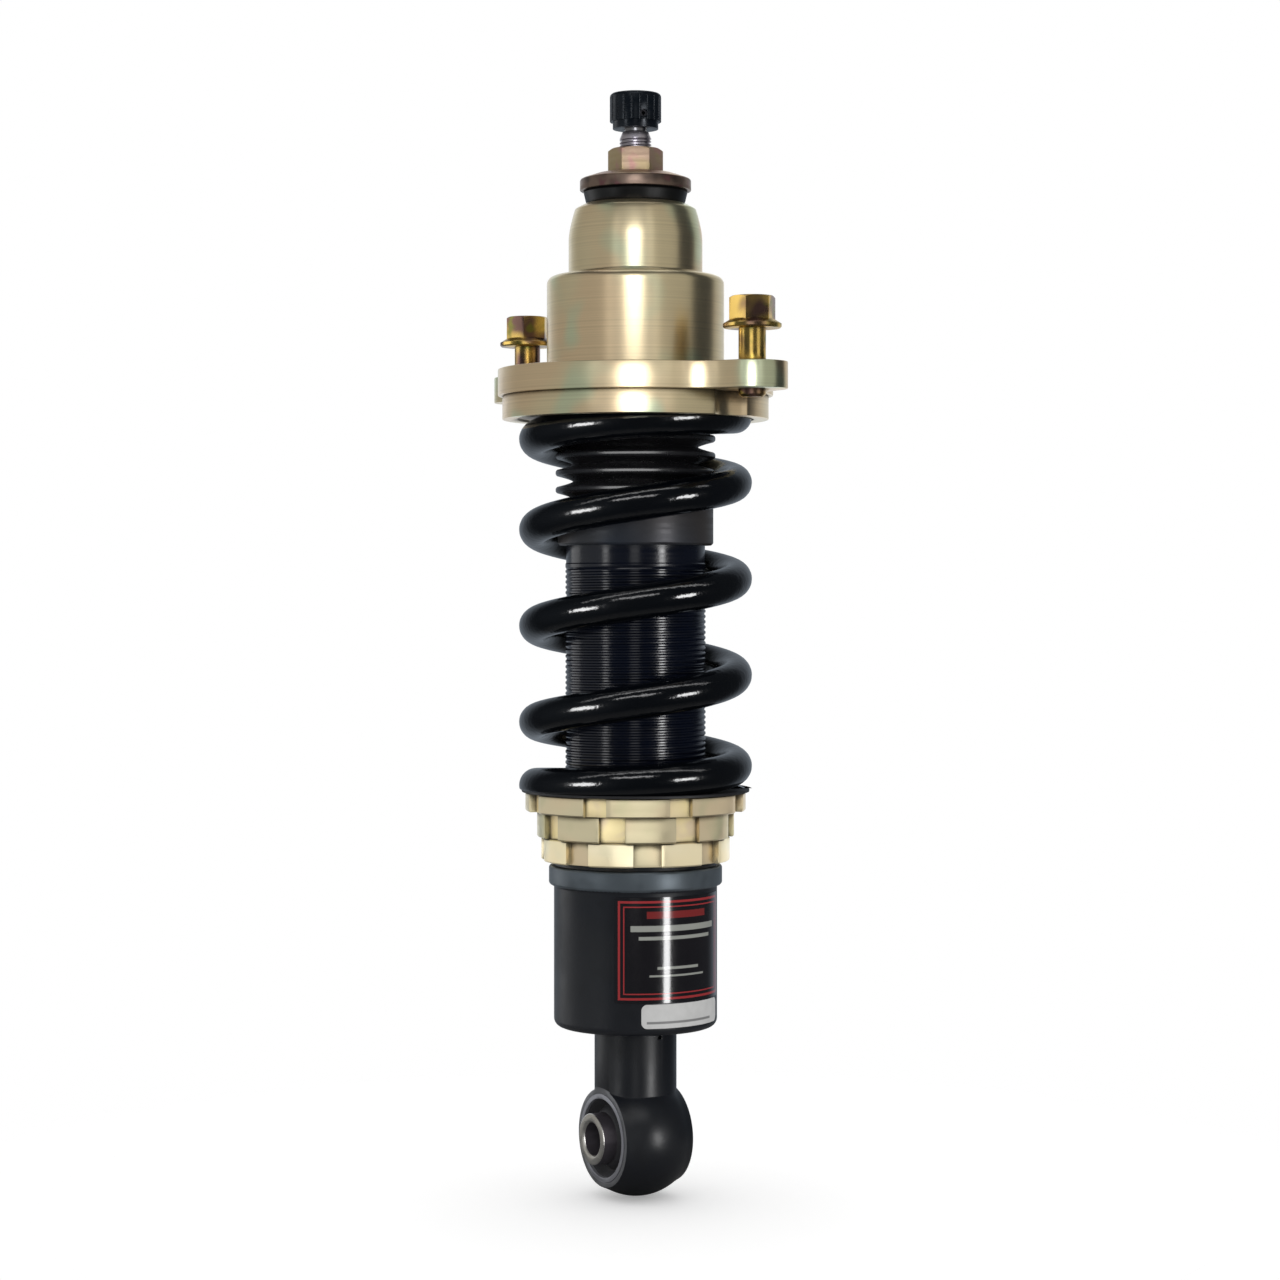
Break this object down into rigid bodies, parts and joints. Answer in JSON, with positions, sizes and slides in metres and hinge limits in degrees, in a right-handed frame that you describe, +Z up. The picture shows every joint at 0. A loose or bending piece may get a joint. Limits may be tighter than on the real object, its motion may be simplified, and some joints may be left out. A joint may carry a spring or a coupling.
{
  "type": "coilover suspension unit",
  "caption": "Height-adjustable coilover: threaded gas damper with a rubber-bushed lower eye, locking rings, ground coil spring and a bolted top hat with a damping knob.",
  "frame": {"origin": "centre of the bolt bore in the lower eye", "axes": "+Z up along the damper towards the top mount, +X along the bolt bore of the lower eye"},
  "size_m": [0.104, 0.1418, 0.4161],
  "materials": {
    "black_bracket": "satin black powder coat",
    "black_tube": "satin black coating on the thread",
    "black_cap": "satin black",
    "spring_black": "gloss black powder coat",
    "hat_champagne": "fine turned, pale gold anodised",
    "seat_champagne": "fine turned, pale gold anodised",
    "ring_gold": "satin gold anodised",
    "zinc_yellow": "yellow passivated zinc",
    "zinc_bronze": "bronze tinted zinc",
    "bush_steel": "phosphated",
    "bush_shell_steel": "dark phosphated",
    "bush_rubber": "moulded",
    "mount_rubber": "moulded",
    "boot_rubber": "moulded",
    "isolator_black": "moulded",
    "bump_foam": "closed cell foam",
    "rod_chrome": "hard chrome",
    "stem_steel": "turned",
    "knob_black": "black anodised, knurled",
    "screw_black": "black oxide",
    "washer_steel": "zinc",
    "spacer_steel": "turned",
    "plug_alloy": "turned",
    "screw_steel": "plain",
    "float_alloy": "turned",
    "piston_sinter": "sintered",
    "band_bronze": "filled polymer",
    "shim_steel": "spring steel",
    "nut_steel": "plain",
    "needle_brass": "turned",
    "guide_alloy": "turned",
    "bush_bronze": "sintered bronze",
    "seal_rubber": "moulded",
    "o_ring_rubber": "moulded",
    "label_black": "gloss film with a plain red border",
    "label_silver": "satin film, blank"
  },
  "bodies": {
    "mount_sleeve": {"bush_inner_sleeve": "bush_steel"},
    "bracket": {"eye_fitting": "black_bracket", "bracket_cup": "black_bracket", "bush_outer_sleeve": "bush_shell_steel", "bush_rubber": "bush_rubber", "data_label": "label_black", "small_label": "label_silver"},
    "bracket_lock": {"bracket_lock_ring": "ring_gold"},
    "damper": {"damper_tube": "black_tube", "base_plug": "plug_alloy", "fill_screw": "screw_steel", "rod_guide": "guide_alloy", "guide_bush": "bush_bronze", "rod_seal": "seal_rubber", "gland_cap": "black_cap"},
    "gas_piston": {"floating_piston": "float_alloy", "floating_piston_seal": "o_ring_rubber"},
    "rod": {"piston_rod": "rod_chrome", "piston": "piston_sinter", "piston_band": "band_bronze", "piston_shims": "shim_steel", "piston_nut": "nut_steel", "bump_stop": "bump_foam", "lower_washer": "washer_steel", "lower_mount_bush": "mount_rubber", "mount_spacer": "spacer_steel", "upper_mount_bush": "mount_rubber", "cup_washer": "zinc_bronze", "rod_nut": "zinc_bronze", "dust_boot": "boot_rubber"},
    "needle": {"metering_needle": "needle_brass"},
    "knob": {"adjuster_knob": "knob_black", "adjuster_stem": "stem_steel", "knob_set_screw": "screw_black"},
    "top_mount": {"top_hat": "hat_champagne", "upper_spring_seat": "seat_champagne"},
    "bolt_front": {"mount_bolt_front": "zinc_yellow"},
    "bolt_rear": {"mount_bolt_rear": "zinc_yellow"},
    "spring_carrier": {"spring_isolator": "isolator_black", "coil_spring": "spring_black"},
    "perch": {"spring_perch": "ring_gold"},
    "perch_lock": {"perch_lock_ring": "ring_gold"}
  },
  "joints": [
    {"name": "bush_twist", "type": "hinge", "parent": "mount_sleeve", "child": "bracket", "pos_m": [0, 0, 0], "axis": [1, 0, 0], "range_deg": [-15, 15], "stiffness_Nm_per_rad": 100},
    {"name": "bracket_ring_turn", "type": "hinge", "parent": "bracket", "child": "bracket_lock", "pos_m": [0, 0, 0.104], "axis": [0, 0, 1], "range_deg": [0, 60]},
    {"name": "ride_height", "type": "slide", "parent": "bracket", "child": "damper", "axis": [0, 0, 1], "range_m": [0, 0.02]},
    {"name": "gas_piston_slide", "type": "slide", "parent": "damper", "child": "gas_piston", "axis": [0, 0, 1], "range_m": [-0.0086, 0]},
    {"name": "stroke", "type": "slide", "parent": "damper", "child": "rod", "axis": [0, 0, 1], "range_m": [-0.045, 0], "stiffness_N_per_m": 60000, "deforming": ["coil_spring", "dust_boot"]},
    {"name": "perch_height", "type": "slide", "parent": "damper", "child": "spring_carrier", "axis": [0, 0, 1], "range_m": [0, 0.012], "deforming": ["coil_spring"]},
    {"name": "perch_turn", "type": "hinge", "parent": "spring_carrier", "child": "perch", "pos_m": [0, 0, 0.12275], "axis": [0, 0, 1], "range_deg": [0, 2160.5]},
    {"name": "perch_lock_turn", "type": "hinge", "parent": "perch", "child": "perch_lock", "pos_m": [0, 0, 0.11295], "axis": [0, 0, 1], "range_deg": [0, 60]},
    {"name": "mount_swivel", "type": "hinge", "parent": "rod", "child": "top_mount", "pos_m": [0, 0, 0.35125], "axis": [0, 0, 1], "range_deg": [-180, 180]},
    {"name": "bolt_front_slide", "type": "slide", "parent": "top_mount", "child": "bolt_front", "axis": [0, 0, 1], "range_m": [-0.012, 0.01]},
    {"name": "bolt_rear_slide", "type": "slide", "parent": "top_mount", "child": "bolt_rear", "axis": [0, 0, 1], "range_m": [-0.012, 0.01]},
    {"name": "knob_turn", "type": "hinge", "parent": "rod", "child": "knob", "pos_m": [0, 0, 0.38], "axis": [0, 0, 1], "range_deg": [-720.5, 0]},
    {"name": "needle_slide", "type": "slide", "parent": "rod", "child": "needle", "axis": [0, 0, 1], "range_m": [-0.002, 0]}
  ],
  "couplings": [
    {"joint": "gas_piston_slide", "follows": "stroke", "ratio": 0.189},
    {"joint": "perch_turn", "follows": "perch_height", "rad_per_m": 3141.6},
    {"joint": "knob_turn", "follows": "needle_slide", "rad_per_m": 6283.2}
  ]
}
